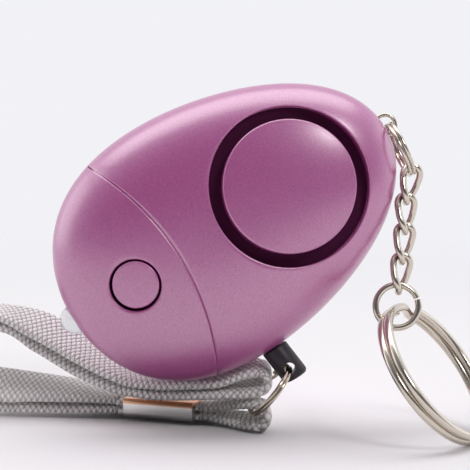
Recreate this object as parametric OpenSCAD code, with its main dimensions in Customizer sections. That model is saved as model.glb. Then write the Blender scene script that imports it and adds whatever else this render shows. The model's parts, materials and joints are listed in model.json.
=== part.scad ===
// Personal safety alarm.
// An egg-shaped case of two shells with a round speaker cover, a press button and a
// lamp at the fat end. A pull pin in the lower rim carries a ring and a wrist strap,
// and a short chain runs from the narrow tip to a key ring.
// Millimetres, +Z up, the floor at z = 0, the face of the case towards -Y.

/* [Case] */
// Length of the case along its long axis
case_len = 62; // [58:1:72]
// Width of the case across its long axis
case_w = 44; // [42:1:52]
// Thickness of the case from front to back
case_t = 22; // [21:0.5:28]
// Thickness of the shell walls
wall = 1.6; // [1.2:0.1:2]
// Rise of the long axis above the floor in degrees
case_tilt = 32; // [24:1:40]
// Backward lean of the face in degrees
case_lean = 4; // [0:1:8]
// Height of the lowest point of the case above the floor
case_rest = 9; // [9:0.5:14]
// Depth of the flat on the back of the rear shell
back_flat = 0.4; // [0.2:0.1:0.8]
// Depth of the decorative groove across the face
groove_depth = 0.5; // [0.3:0.1:0.8]
// Width of the decorative groove across the face
groove_w = 0.7; // [0.4:0.1:1.2]
// Radius of the groove's arc, seen from the front
groove_r = 41; // [36:1:60]

/* [Speaker] */
// Radius of the round speaker cover
cover_r = 11.1; // [9:0.1:11.5]
// Width of the sound slot around the cover
slot_w = 2; // [1.2:0.1:2.2]
// Depth of the sound slot's floor below the face
slot_depth = 4; // [3.4:0.1:4.6]
// Tilt of the speaker towards the narrow end in degrees
speaker_tilt = 7; // [4:0.5:9]
// Thickness of the brass sounder plate
plate_t = 0.25; // [0.1:0.05:0.5]
// Radius of the ceramic disc on the sounder plate
ceramic_r = 9; // [6:0.5:10]
// Inner depth of the resonator cup
cup_depth = 2; // [1.5:0.1:2.4]

/* [Button and lamp] */
// Radius of the button cap
button_r = 3.9; // [3:0.1:4.2]
// Clearance around the button cap
button_gap = 0.3; // [0.15:0.05:0.5]
// Travel of the button
button_travel = 0.5; // [0.3:0.05:0.6]
// Diameter of the lamp
lamp_d = 5; // [3:0.5:5]
// Clearance around the lamp
lamp_gap = 0.05; // [0.02:0.01:0.2]

/* [Pull pin] */
// Diameter of the pin's shaft
shaft_d = 2.4; // [1.8:0.1:2.8]
// Diameter of the pin's head
head_d = 4.2; // [3.8:0.1:5]
// Length of the pin's head outside the case
head_len = 6.2; // [5.5:0.1:8]
// Diameter of the cross hole through the head
cross_d = 2.3; // [2.2:0.1:2.6]
// Running clearance of the shaft in its bore
pin_gap = 0.05; // [0.02:0.01:0.1]
// Mean radius of the ring on the pin
pin_ring_r = 5.1; // [4.9:0.1:5.6]
// Wire diameter of the ring on the pin
pin_wire = 0.6; // [0.4:0.05:0.7]

/* [Strap] */
// Width of the flat braided strap
strap_w = 8; // [6:0.5:9]
// Thickness of the strap
strap_t = 1.6; // [1.2:0.1:1.6]
// Width of the strap's small eye
eye_w = 4.6; // [4:0.1:5.5]
// Thickness of the strap's small eye
eye_t = 1.5; // [1.1:0.1:1.6]
// Length of the metal clip on the strap
clip_len = 13.2; // [10:0.1:15]
// Width of the metal clip
clip_w = 8.8; // [8:0.1:10]
// Height of the metal clip
clip_h = 3.4; // [3.3:0.1:3.6]

/* [Chain] */
// Wire diameter of the eye at the tip
tip_wire = 0.7; // [0.5:0.05:1]
// Mean radius of the eye at the tip
tip_r = 1.75; // [1.7:0.05:2.2]
// Wire diameter of the connector ring
conn_wire = 0.7; // [0.5:0.05:0.8]
// Mean radius of the connector ring
conn_r = 4.6; // [4.2:0.1:5.4]
// Half length of a chain link, on the wire's middle
link_a = 3.15; // [2.9:0.05:3.6]
// Half width of a chain link, on the wire's middle
link_b = 1.75; // [1.6:0.05:2]
// Wire diameter of the chain links
link_wire = 1.2; // [0.9:0.05:1.2]
// Mean radius of the jump ring
jump_r = 3.6; // [3.4:0.1:4]
// Wire diameter of the jump ring
jump_wire = 1.1; // [0.8:0.05:1.1]
// Forward lean of the chain in degrees
chain_lean = 10; // [8:0.5:14]
// Play between neighbouring rings of the chain
chain_play = 0.05; // [0.02:0.01:0.2]

/* [Key ring] */
// Mean radius of the key ring
key_r = 12.5; // [11:0.5:15]
// Wire diameter of the key ring, which has two turns
key_wire = 1.5; // [1.2:0.1:1.6]

/* [Inside] */
// Thickness of the circuit board
board_t = 1; // [0.8:0.1:1.2]
// Distance of the board's front face behind the front of the case
board_in = 8; // [7.8:0.1:8.4]
// Diameter of a button cell
cell_d = 11.6; // [9.5:0.1:11.8]
// Thickness of a button cell
cell_t = 5.4; // [3.6:0.1:5.5]
// Clearance around a button cell
cell_gap = 0.1; // [0.05:0.05:0.3]
// Thickness of the contact plates
contact_t = 0.2; // [0.1:0.05:0.4]
// Diameter of the case screws
screw_d = 1.6; // [1.2:0.1:1.8]
// Head diameter of the case screws
screw_head_d = 3.2; // [2.6:0.1:3.4]

/* [Hidden] */
$fn = 64;

// Colours
purple = [0.60, 0.32, 0.50];
dark_purple = [0.13, 0.06, 0.12];
charcoal = [0.21, 0.17, 0.22];
nickel = [0.74, 0.74, 0.75];
steel = [0.62, 0.62, 0.64];
grey_braid = [0.68, 0.65, 0.65];
brass = [0.78, 0.63, 0.30];
board_green = [0.10, 0.35, 0.20];
black_plastic = [0.07, 0.07, 0.08];
ivory = [0.90, 0.88, 0.82];
clear_lens = [0.88, 0.90, 0.94];
copper = [0.72, 0.42, 0.25];

// Case form: half widths follow a quadratic in the cosine, sections are superellipses
egg_a = 0.983;
egg_b = 0.167;
egg_c = 0.088;
egg_pow = 0.8;
ring_n = 44;
ring_m = 8;
mid_s = -12;
half_t = case_t / 2;
fat_s = mid_s - case_len / 2;
tip_s = mid_s + case_len / 2;
over = 0.6;
far = 60;

// Places along the case (s), through it (y) and across it (h), from the speaker's axis
button_s = fat_s + 12.6;
groove_s = fat_s + 21.5;
pin_s = mid_s - 4.7;
screw_s = fat_s + 17;
screw_h = case_w / 2 - 7.5;
slot_r = cover_r + slot_w;
boss_r = slot_r + 1.3;
plate_in = slot_depth + 1.6;
cup_in = plate_in + plate_t;
boss_in = cup_in + cup_depth + 0.6;
board_y = board_in - half_t;
board_back = board_y + board_t;
lamp_r = lamp_d / 2;
lamp_s = fat_s + 0.3;
lamp_base_s = fat_s + 6;
shaft_r = shaft_d / 2;
head_r = head_d / 2;
rim_h = max([for (a = [60:2:130]) -rim(-a, 0)[1]]);
head_h = rim_h + 0.12;
cross_h = head_h + head_len - 2.1;
socket_in = 12;
socket_out = 3;
tray_y = 0.2;
tray_floor = 1;
cell_y = tray_y + tray_floor + contact_t;
tray_wall = 1.3;
leaf_clear = 0.65;
cell_row = 11.5;
cell_s = pin_s + shaft_r + pin_gap + contact_t + leaf_clear + tray_wall + cell_d / 2;
cell_at = [[cell_s + cell_row, 0], [cell_s, cell_d / 2 + 0.6], [cell_s, -cell_d / 2 - 0.6]];
screw_seat = 4.2;
wire_x = 6;
wire_d = 0.7;
wire_in = boss_in + 2.2;
tact_size = 6;
tact_h = 1.9;
plunger_r = 1.7;
plunger_out = button_travel + 0.5;
tact_y = board_y - tact_h;
plunger_y = tact_y - plunger_out;
flange_y = plunger_y - 0.65;
eye_s = tip_s + 0.2;
notch_r = 1.05;
anchor_s = max(tip_s - 4.2, boss_r + 0.4);
face_y = face_at(0);

// Outline of the case at angle a, d inside the outer face, as [s, h]
function rim(a, d) = [mid_s + (case_len / 2 - d) * cos(a),
    (case_w / 2 - d) * sin(a) * (egg_a - egg_b * cos(a) + egg_c * cos(a) ^ 2)];
// Front face of the case on its long axis at s
function face_at(s) = let (q = abs(s - mid_s) / (case_len / 2))
    -half_t * (1 - q ^ (2 / egg_pow)) ^ (egg_pow / 2);
// Point of the case's own frame turned and moved into the part's frame
function lean_turn(v) = [v[0], v[1] * cos(case_lean) + v[2] * sin(case_lean),
    -v[1] * sin(case_lean) + v[2] * cos(case_lean)];
function case_turn(v) = lean_turn([v[0] * cos(case_tilt) - v[2] * sin(case_tilt), v[1],
    v[0] * sin(case_tilt) + v[2] * cos(case_tilt)]);
case_drop = max([for (a = [180:2:360]) -case_turn([rim(a, 0)[0], 0, rim(a, 0)[1]])[2]]);
case_at = [2.8, 4.7, case_rest + case_drop + 0.05];
function at_case(v) = case_at + case_turn(v);

// Chain: each piece hangs from the bottom wire of the one above, in one leaning plane
tip_at = at_case([eye_s + tip_r, 0, 0]);
link_angles = [-11.5, -3, -6, -7];
jump_angle = -5.5;
function hang(a) = [sin(a), 0, -cos(a)];
conn_top = [-0.98, 0, -0.87];
case_right = max([for (a = [-60:2:20]) at_case([rim(a, 0)[0], 0, rim(a, 0)[1]])[0]]);
case_clear = 0.2;
link_side = link_b + link_wire / 2;
conn_angle = asin(min(0.9, (case_right + case_clear + link_side - tip_at[0] - conn_top[0]) / (2 * conn_r)));
conn_bottom = conn_top + 2 * conn_r * hang(conn_angle);
conn_sit = link_wire / 2 + conn_wire + chain_play;
link_sit = link_wire + chain_play;
jump_sit = (link_wire + jump_wire) / 2 + chain_play;
link_1_end = conn_bottom + (2 * link_a - conn_sit) * hang(link_angles[0]);
link_2_end = link_1_end + (2 * link_a - link_sit) * hang(link_angles[1]);
link_3_end = link_2_end + (2 * link_a - link_sit) * hang(link_angles[2]);
link_4_end = link_3_end + (2 * link_a - link_sit) * hang(link_angles[3]);
jump_mid = link_4_end + (jump_r - jump_sit) * hang(jump_angle);
function chain_turn(v) = [v[0], v[1] * cos(chain_lean) + v[2] * sin(chain_lean),
    -v[1] * sin(chain_lean) + v[2] * cos(chain_lean)];
function at_chain(v) = tip_at + chain_turn(v);

// Key ring: hooked in the jump ring's lower side, its tilt such that its lowest point is on the floor
key_turn = -27.7;
key_hook = at_chain(jump_mid + jump_r * [cos(250), 0, sin(250)]);
key_down = key_r - (key_wire + jump_wire) / 2 - 0.65;
key_side = 1.53;
key_off = 1.63;
key_reach = key_r + key_down;
key_lift = key_wire / 2 - key_off;
key_rise = (key_hook[2] - key_wire / 2) / norm([key_reach, key_lift]);
key_polar = asin(min(1, key_rise)) - atan2(key_lift, key_reach);
key_mid = key_hook + key_side * [-sin(key_turn), cos(key_turn), 0]
    + (key_down * cos(key_polar) + key_off * sin(key_polar)) * [cos(key_turn), sin(key_turn), 0]
    + (key_off * cos(key_polar) - key_down * sin(key_polar)) * [0, 0, 1];

// Pin ring: from the pin's cross hole down to the strap's small eye
cross_at = at_case([pin_s, 0, -cross_h]);
ring_low = 2.5;
ring_twist = -5;
ring_angle = acos(min(1, (cross_at[2] - ring_low) / (2 * pin_ring_r)));
ring_mid = cross_at - pin_ring_r * [sin(ring_angle), 0, cos(ring_angle)];
ring_end = cross_at - 2 * pin_ring_r * [sin(ring_angle), 0, cos(ring_angle)];

// Strap: x, y, z and bank of points along the wrist loop, from clip to clip
clip_at = [-18.25, 13.04, 0.7];
clip_yaw = 21.8;
strap_route = [
    [-24.4, 15.5, 3.25, 0], [-26.9, 16.5, 3.25, 0], [-34, 17, 3.9, 12], [-42.5, 17.3, 4.5, 24],
    [-48, 17.4, 4.9, 32], [-61, 17.6, 7.4, 30], [-64.5, 17.8, 10.6, 28], [-62.5, 18, 14, 24],
    [-58, 18.1, 15.9, 18], [-47.8, 18.3, 16.4, 8], [-40.9, 17.9, 14.4, 28], [-34.1, 15.9, 10.8, 25],
    [-27.2, 12.7, 7.5, 18], [-23.8, 11.3, 6.3, 12], [-18.7, 9.1, 5.85, 5], [-8.9, 5.9, 6.6, 0],
    [-4.5, 5, 7, 0], [-2, 4.6, 7.7, 0], [-1.3, 4.6, 9, 0], [-2.2, 4.8, 10.4, 0],
    [-4.5, 5, 10.7, 0], [-8.9, 5.9, 8.9, 0], [-13.8, 7.2, 8.05, 3], [-18.7, 8.9, 7.7, 5],
    [-23.8, 10.9, 8.1, 12], [-27.2, 12.1, 9.25, 18], [-34.1, 15.1, 12.5, 25], [-40.9, 17, 16.05, 28],
    [-47.8, 18, 18.3, 8], [-55, 18.2, 18.8, 6], [-62.5, 18.3, 18, 6], [-68.5, 18.3, 15, 10],
    [-70.5, 18.2, 10.5, 20], [-68, 18.2, 6.4, 28], [-62, 18.3, 4.2, 32], [-48, 18.4, 3.3, 34],
    [-42.5, 18, 2.75, 24], [-34, 17.2, 2.1, 12], [-26.9, 16.5, 1.55, 0], [-24.4, 15.5, 1.55, 0]];
// Points along the small eye that holds the ring
eye_route = [
    [-12.1, 10.6, 3.25, 0], [-10.35, 9.9, 3.25, 0], [-7.8, 8, 4.2, 0], [-5.2, 5.6, 5.1, 0],
    [-3, 3.7, 5.2, 0], [-1.5, 2.6, 4.7, 0], [-0.8, 2.1, 3.05, 0], [-1.5, 2.6, 1.5, 0],
    [-3, 3.7, 1.05, 0], [-5.2, 5.6, 1.05, 0], [-7.8, 8, 1.2, 0], [-10.35, 9.9, 1.55, 0],
    [-12.1, 10.6, 1.55, 0]];

function unit(v) = v / norm(v);
function xyz(p) = [p[0], p[1], p[2]];
// Smooth curve through the points p, with k steps a stretch
function smooth(p, k) = let (n = len(p) - 1) [for (i = [0:n - 1]) for (j = [0:k - (i == n - 1 ? 0 : 1)])
    let (a = p[max(i - 1, 0)], b = p[i], c = p[i + 1], d = p[min(i + 2, n)], t = j / k)
    b + t / 2 * (c - a + t * (2 * a - 5 * b + 4 * c - d + t * (3 * b - a - 3 * c + d)))];
// Section of a flat strap, as width and thickness pairs
function band(w, t) = let (a = w / 2, b = t / 2, c = t / 4) [[a, c - b], [a, b - c], [a - c, b],
    [c - a, b], [-a, b - c], [-a, c - b], [c - a, -b], [a - c, -b]];
// Section of a round wire with n sides
function round_band(d, n) = [for (i = [0:n - 1]) d / 2 * [cos(360 * i / n), sin(360 * i / n)]];
// Rings of a flat strap along a banked route
function strap_rings(route, sec) = let (q = smooth(route, 2), n = len(q) - 1) [for (i = [0:n])
    let (m = len(route) - 1, t = unit(xyz(i == 0 ? route[1] - route[0] : i == n ? route[m] - route[m - 1]
             : q[i + 1] - q[i - 1])),
         w0 = [0, cos(q[i][3]), sin(q[i][3])], w = unit(w0 - (w0 * t) * t), b = cross(t, w))
    [for (e = sec) xyz(q[i]) + e[0] * w + e[1] * b]];
// Middle line of a link whose plane turns by a right angle from top to bottom
function link_path(a) = let (c = cos(a), s = sin(a), u = link_a * sign(c) * abs(c) ^ egg_pow,
    v = link_b * sign(s) * abs(s) ^ egg_pow, p = 45 * (1 - c)) [v * cos(p), v * sin(p), u];
function link_rings(n, sec) = [for (i = [0:n]) let (a = 360 * i / n + 180 / n,
    p = link_path(a), t = unit(link_path(a + 4) - link_path(a - 4)),
    w = unit(cross(t, cross(p - [0, 0, p[2] * 0.7], t))), b = cross(t, w))
    [for (e = sec) p + e[0] * w + e[1] * b]];

// Solid swept through rings of points, closed on itself or capped
module swept(rings, closed) {
    m = len(rings[0]);
    n = len(rings) - 1;
    pts = closed ? [for (i = [0:n - 1]) each rings[i]] : [for (r = rings) each r];
    count = n * m;
    sides = [for (i = [0:n - 1]) for (j = [0:m - 1]) let (a = i * m + j, b = i * m + (j + 1) % m,
        c = closed ? (a + m) % count : a + m, d = closed ? (b + m) % count : b + m)
        each [[a, c, d], [a, d, b]]];
    caps = closed ? [] : [[for (j = [0:m - 1]) j], [for (j = [m - 1:-1:0]) n * m + j]];
    polyhedron(pts, concat(sides, caps), convexity = 8);
}

// Front half of the case's form, d inside the outer face, reaching past the parting plane
module half_form(d, past) {
    lev = [for (k = [0:ring_m - 1]) 90 * k / ring_m];
    pts = concat([for (i = [0:ring_n - 1]) let (p = rim(360 * i / ring_n, d)) [p[0], past, p[1]]],
        [for (f = lev) for (i = [0:ring_n - 1]) let (p = rim(360 * i / ring_n, d), q = cos(f) ^ egg_pow)
            [mid_s + (p[0] - mid_s) * q, -(half_t - d) * sin(f) ^ egg_pow, p[1] * q]],
        [[mid_s, -(half_t - d), 0]]);
    first = past > 0 ? 0 : 1;
    sides = [for (k = [first:ring_m - 1]) for (i = [0:ring_n - 1]) let (j = (i + 1) % ring_n,
        a = k * ring_n + i, b = k * ring_n + j) each [[a, a + ring_n, b + ring_n], [a, b + ring_n, b]]];
    top = [for (i = [0:ring_n - 1]) [ring_m * ring_n + i, (ring_m + 1) * ring_n,
        ring_m * ring_n + (i + 1) % ring_n]];
    base = [[for (i = [0:ring_n - 1]) first * ring_n + i]];
    polyhedron(pts, concat(sides, top, base), convexity = 4);
}

// Placing helpers
module in_case() translate(case_at) rotate([-case_lean, 0, 0]) rotate([0, -case_tilt, 0]) children();
module in_speaker() in_case() speaker_frame() children();
module speaker_frame() translate([0, face_y, 0]) rotate([0, 0, speaker_tilt]) rotate([-90, 0, 0]) children();
module along_y() rotate([-90, 0, 0]) children();
module in_chain(p, a) translate(tip_at) rotate([-chain_lean, 0, 0]) translate(p) rotate([0, -a, 0])
    children();
module rod(p, q, d) {
    v = q - p;
    translate(p) rotate([0, acos(v[2] / norm(v)), atan2(v[1], v[0])]) cylinder(d = d, h = norm(v));
}
module torus(r, d) rotate_extrude() translate([r, 0]) circle(d = d, $fn = 24);
module coil_pair(r, d) for (e = [-1, 1]) translate([0, 0, e * d * 0.48]) torus(r, d);

// Case shells
module front_shell() color(purple) in_case() difference() {
    union() {
        difference() {
            half_form(0, 0);
            half_form(wall, over);
        }
        intersection() {
            half_form(wall / 2, 0);
            union() {
                speaker_frame() cylinder(r = boss_r, h = boss_in);
                for (e = [-1, 1]) translate([screw_s, -half_t, e * screw_h]) along_y()
                    cylinder(d = screw_d + 2.4, h = half_t + board_y);
            }
        }
    }
    speaker_frame() translate([0, 0, -4]) cylinder(r = slot_r, h = boss_in + 5);
    translate([button_s, -half_t - 1, 0]) along_y() cylinder(r = button_r + button_gap, h = half_t);
    lamp_bore();
    pin_bore();
    tip_cuts();
    for (e = [-1, 1]) translate([screw_s, board_y - 3, e * screw_h]) along_y() cylinder(d = screw_d, h = 4);
    groove();
}
module rear_shell() color(purple) in_case() difference() {
    union() {
        difference() {
            mirror([0, 1, 0]) half_form(0, 0);
            mirror([0, 1, 0]) half_form(wall, over);
        }
        intersection() {
            mirror([0, 1, 0]) half_form(wall / 2, half_t);
            for (e = [-1, 1]) translate([screw_s, board_back, e * screw_h]) along_y()
                cylinder(d = screw_head_d + 2.2, h = half_t);
        }
    }
    translate([-far, half_t - back_flat, -far]) cube([2 * far, 5, 2 * far]);
    lamp_bore();
    pin_bore();
    tip_cuts();
    for (e = [-1, 1]) translate([screw_s, 0, e * screw_h]) along_y() {
        translate([0, 0, board_back - 1]) cylinder(d = screw_d + 0.2, h = half_t);
        translate([0, 0, screw_seat]) cylinder(d = screw_head_d + 0.3, h = half_t);
    }
}
module lamp_bore() translate([fat_s - 4, 0, 0]) rotate([0, 90, 0]) cylinder(r = lamp_r + lamp_gap, h = 9.5);
module pin_bore() translate([pin_s, 0, -rim_h - 2]) cylinder(r = shaft_r + pin_gap, h = 8);
module tip_cuts() {
    translate([eye_s + 0.45, -half_t, -0.2]) along_y() cylinder(r = notch_r, h = case_t);
    translate([eye_s, 0, 0]) torus_case(tip_r, tip_wire + 0.1);
    translate([anchor_s, 0, 0]) rotate([0, 90, 0]) cylinder(d = tip_wire + 0.1, h = eye_s - tip_r - anchor_s);
}
module torus_case(r, d) along_y() torus(r, d);
module groove() difference() {
    translate([groove_s - groove_r, -half_t - 1, 0]) along_y() difference() {
        cylinder(r = groove_r + groove_w / 2, h = half_t - 1.5);
        translate([0, 0, -1]) cylinder(r = groove_r - groove_w / 2, h = half_t + 1);
    }
    half_form(groove_depth, over);
}

// Speaker
module speaker_cover() color(purple) in_case() difference() {
    intersection() {
        half_form(0, 0);
        speaker_frame() translate([0, 0, -4]) cylinder(r = cover_r, h = slot_depth + 4);
    }
    speaker_frame() translate([0, 0, 2]) cylinder(r = cover_r - 1.6, h = slot_depth);
}
module sound_ring() color(dark_purple) in_speaker() difference() {
    translate([0, 0, slot_depth]) cylinder(r = slot_r, h = plate_in - slot_depth);
    translate([0, 0, slot_depth - 1]) cylinder(r = cover_r - 2.2, h = plate_in);
    translate([0, 0, slot_depth + 1]) cylinder(r = slot_r - 1, h = plate_in);
    for (a = [0:30:330]) rotate(a) translate([(cover_r + slot_r) / 2, 0, slot_depth - 1])
        cylinder(d = slot_w * 0.5, h = plate_in, $fn = 20);
}
module piezo_plate() color(brass) in_speaker() translate([0, 0, plate_in]) cylinder(r = slot_r, h = plate_t);
module piezo_ceramic() color(ivory) in_speaker() translate([0, 0, cup_in])
    cylinder(r = ceramic_r, h = plate_t);
module resonator_cup() color(black_plastic) in_speaker() difference() {
    translate([0, 0, cup_in]) cylinder(r = slot_r, h = cup_depth + 0.6);
    translate([0, 0, cup_in - 1]) cylinder(r = slot_r - 1, h = cup_depth + 1);
    translate([-wire_x, 0, cup_in]) cylinder(d = 3, h = cup_depth + 2, $fn = 32);
}

// Board and what it carries
module circuit_board() color(board_green) in_case() difference() {
    translate([0, board_y, 0]) along_y() linear_extrude(board_t) polygon([
        [fat_s + 7.5, -8], [fat_s + 7.5, 8], [fat_s + 12, screw_h - 2], [fat_s + 15, screw_h + 2],
        [mid_s - 0.5, screw_h + 2], [mid_s - 0.5, -screw_h - 2], [fat_s + 15, -screw_h - 2],
        [fat_s + 12, 2 - screw_h]]);
    for (e = [-1, 1]) translate([screw_s, board_y - 1, e * screw_h]) along_y()
        cylinder(d = screw_d + 0.2, h = board_t + 2);
}
module tact_switch() color(black_plastic) in_case() difference() {
    translate([button_s - tact_size / 2, tact_y, -tact_size / 2]) cube([tact_size, tact_h, tact_size]);
    translate([button_s, tact_y - 1, 0]) along_y() cylinder(r = plunger_r + 0.05, h = 2.2);
}
module tact_plunger() color(ivory) in_case() translate([button_s, plunger_y, 0]) along_y()
    cylinder(r = plunger_r, h = plunger_out + 0.65);
module button_cap() color(purple) in_case() difference() {
    union() {
        translate([button_s, 0, 0]) intersection() {
            translate([0, face_at(button_s) - 0.4, 0]) along_y()
                cylinder(r = button_r, h = flange_y - face_at(button_s) + 0.5);
            translate([0, face_at(button_s) - 0.25 + 30, 0]) sphere(r = 30, $fn = 96);
        }
        translate([button_s, flange_y, 0]) along_y() cylinder(r = button_r + 0.9, h = 0.6);
    }
    translate([button_s, flange_y - 1.6, 0]) along_y() cylinder(r = button_r - 1.2, h = 1.6);
}
module led_lamp() color(clear_lens) in_case() union() {
    translate([lamp_s, 0, 0]) sphere(r = lamp_r);
    translate([lamp_s, 0, 0]) rotate([0, 90, 0]) cylinder(r = lamp_r, h = lamp_base_s - lamp_s);
    translate([lamp_base_s - 1, 0, 0]) rotate([0, 90, 0]) cylinder(r = lamp_r + 0.4, h = 1);
}
module led_lead(e) color(nickel) in_case() union() {
    rod([lamp_base_s, 0, e * 1.27], [fat_s + 9, 0, e * 1.27], 0.5);
    translate([fat_s + 9, 0, e * 1.27]) sphere(d = 0.5, $fn = 24);
    rod([fat_s + 9, 0, e * 1.27], [fat_s + 9, board_back, e * 1.27], 0.5);
}
module led_lead_1() led_lead(1);
module led_lead_2() led_lead(-1);
module boost_coil() color(copper) in_case() translate([fat_s + 13, board_back, 7]) along_y() union() {
    cylinder(r = 2.9, h = 0.6);
    cylinder(r = 2.3, h = 3.6);
    translate([0, 0, 3.4]) cylinder(r = 2.9, h = 0.6);
}
module driver_chip() color(black_plastic) in_case() translate([fat_s + 17, board_back, -2.5])
    cube([4, 1.5, 5]);
module capacitor() color(black_plastic) in_case() translate([fat_s + 13, board_back, -7]) along_y()
    cylinder(r = 2, h = 5);
module transistor() color(black_plastic) in_case() translate([fat_s + 21, board_back, 7]) cube([1.5, 1.1, 3]);

// Socket that the pull pin keeps open
module pin_socket() color(black_plastic) in_case() difference() {
    translate([pin_s - 3, board_back, -rim_h + socket_out]) cube([6, 4.6, socket_in - socket_out]);
    translate([pin_s, 0, -rim_h]) cylinder(r = shaft_r + pin_gap, h = socket_in + 2);
}
module socket_leaf(e) color(brass) in_case()
    translate([pin_s + e * (shaft_r + pin_gap + contact_t / 2) - contact_t / 2, -1, -rim_h + socket_in])
    cube([contact_t, 2, 4.5]);
module socket_leaf_1() socket_leaf(1);
module socket_leaf_2() socket_leaf(-1);

// Cells
module cell(i) color(nickel) in_case() translate([cell_at[i][0], cell_y, cell_at[i][1]]) along_y() union() {
    cylinder(d = cell_d, h = cell_t - 0.3);
    cylinder(d = cell_d - 2, h = cell_t);
}
module cell_1() cell(0);
module cell_2() cell(1);
module cell_3() cell(2);
module battery_tray() color(black_plastic) in_case() union() {
    translate([0, tray_y, 0]) along_y() difference() {
        linear_extrude(tray_floor + 3.2) hull() for (c = cell_at) translate([c[0], -c[1]])
            circle(r = cell_d / 2 + tray_wall, $fn = 32);
        for (c = cell_at) translate([c[0], -c[1], tray_floor]) cylinder(d = cell_d + 2 * cell_gap, h = 9);
    }
    for (i = [1, 2]) translate([cell_at[i][0] - 4.5, board_back, cell_at[i][1]]) along_y()
        cylinder(r = 1.3, h = tray_y - board_back + 0.3);
}
module contact_low() color(brass) in_case() translate([0, tray_y + tray_floor, 0]) along_y()
    translate([cell_at[0][0], -cell_at[0][1], 0]) cylinder(d = cell_d - 2, h = contact_t);
module contact_high() color(brass) in_case() translate([0, cell_y + cell_t, 0]) along_y()
    linear_extrude(contact_t) hull() for (i = [1, 2]) translate([cell_at[i][0], cell_at[i][1]])
    circle(d = 4, $fn = 32);

// Wires from the sounder to the board
module speaker_wire(e, col) color(col) in_case() speaker_frame() union() {
    translate([-wire_x, e * 0.6, cup_in + plate_t]) cylinder(d = wire_d, h = wire_in - cup_in - plate_t);
    translate([-wire_x, e * 0.6, wire_in]) sphere(d = wire_d);
    rod([-wire_x, e * 0.6, wire_in], [mid_s - 3, e * 2, wire_in + 0.4], wire_d);
}
module speaker_wire_1() speaker_wire(1, [0.75, 0.1, 0.1]);
module speaker_wire_2() speaker_wire(-1, [0.1, 0.1, 0.1]);

// Fasteners
module case_screw(e) color(steel) in_case() translate([screw_s, 0, e * screw_h]) along_y() difference() {
    union() {
        translate([0, 0, board_y - 3]) cylinder(d = screw_d, h = screw_seat - board_y + 3.1);
        translate([0, 0, screw_seat]) cylinder(d = screw_head_d, h = 1.2);
    }
    translate([-0.25, -screw_head_d, screw_seat + 0.7]) cube([0.5, 2 * screw_head_d, 2]);
}
module case_screw_1() case_screw(1);
module case_screw_2() case_screw(-1);

// Chain and key ring
module tip_eye() color(nickel) in_case() union() {
    translate([eye_s, 0, 0]) torus_case(tip_r, tip_wire);
    translate([anchor_s, 0, 0]) rotate([0, 90, 0]) union() {
        cylinder(d = tip_wire, h = eye_s - tip_r - anchor_s, $fn = 32);
        cylinder(d = 2.6, h = 0.8, $fn = 32);
    }
}
module connector_ring() color(nickel) in_chain(conn_top, conn_angle) translate([0, 0, -conn_r])
    rotate([0, 90, 0]) coil_pair(conn_r, conn_wire);
module link(p, i, sit) color(nickel) in_chain(p, link_angles[i]) translate([0, 0, sit - link_a])
    swept(link_rings(28, round_band(link_wire, 8)), true);
module link_1() link(conn_bottom, 0, conn_sit);
module link_2() link(link_1_end, 1, link_sit);
module link_3() link(link_2_end, 2, link_sit);
module link_4() link(link_3_end, 3, link_sit);
module jump_ring() color(nickel) in_chain(jump_mid, jump_angle) rotate([90, 0, 0]) torus(jump_r, jump_wire);
module key_ring() color(nickel) translate(key_mid) rotate([0, key_polar, key_turn])
    coil_pair(key_r, key_wire);

// Pull pin, its ring and the strap
module pull_pin() color(charcoal) in_case() translate([pin_s, 0, 0]) difference() {
    union() {
        translate([0, 0, -head_h]) cylinder(r = shaft_r, h = head_h - rim_h + socket_in + 1);
        translate([0, 0, -head_h - head_len]) cylinder(r1 = head_r - 0.5, r2 = head_r, h = 0.6);
        translate([0, 0, -head_h - head_len + 0.6]) cylinder(r = head_r, h = head_len - 0.6);
    }
    translate([0, -head_d, -cross_h]) along_y() cylinder(d = cross_d, h = 2 * head_d);
}
module pin_ring() color(steel) translate(ring_mid) rotate([0, ring_angle + 90, 0])
    rotate([ring_twist, 0, 0]) coil_pair(pin_ring_r, pin_wire);
module wrist_strap() color(grey_braid) swept(strap_rings(strap_route, band(strap_w, strap_t)), false);
module strap_eye() color(grey_braid) swept(strap_rings(eye_route, band(eye_w, eye_t)), false);
module strap_crimp() color(nickel) translate(clip_at) rotate(-clip_yaw)
    translate([-clip_len / 2, -clip_w / 2, 0]) cube([clip_len, clip_w, clip_h]);

front_shell();
rear_shell();
speaker_cover();
sound_ring();
piezo_plate();
piezo_ceramic();
resonator_cup();
circuit_board();
tact_switch();
tact_plunger();
button_cap();
led_lamp();
led_lead_1();
led_lead_2();
cell_1();
cell_2();
cell_3();
battery_tray();
contact_low();
contact_high();
pin_socket();
socket_leaf_1();
socket_leaf_2();
boost_coil();
driver_chip();
capacitor();
transistor();
speaker_wire_1();
speaker_wire_2();
case_screw_1();
case_screw_2();
tip_eye();
connector_ring();
link_1();
link_2();
link_3();
link_4();
jump_ring();
key_ring();
pull_pin();
pin_ring();
wrist_strap();
strap_eye();
strap_crimp();
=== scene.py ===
# %% [markdown]
# # A personal safety alarm
# The alarm is an egg of pearl-purple plastic with a speaker, a button and a lamp. A pull pin carries a
# braided wrist strap, and a short chain carries a key ring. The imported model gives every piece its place
# and its movement. This lesson dresses it: smooth shells over the faceted ones, real wound rings, a braid
# with its strands, and finishes. Sizes are written in millimetres and become metres where a mesh is made.

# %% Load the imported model
import json
import math
import bpy
import numpy as np
from mathutils import Matrix, Vector

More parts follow.
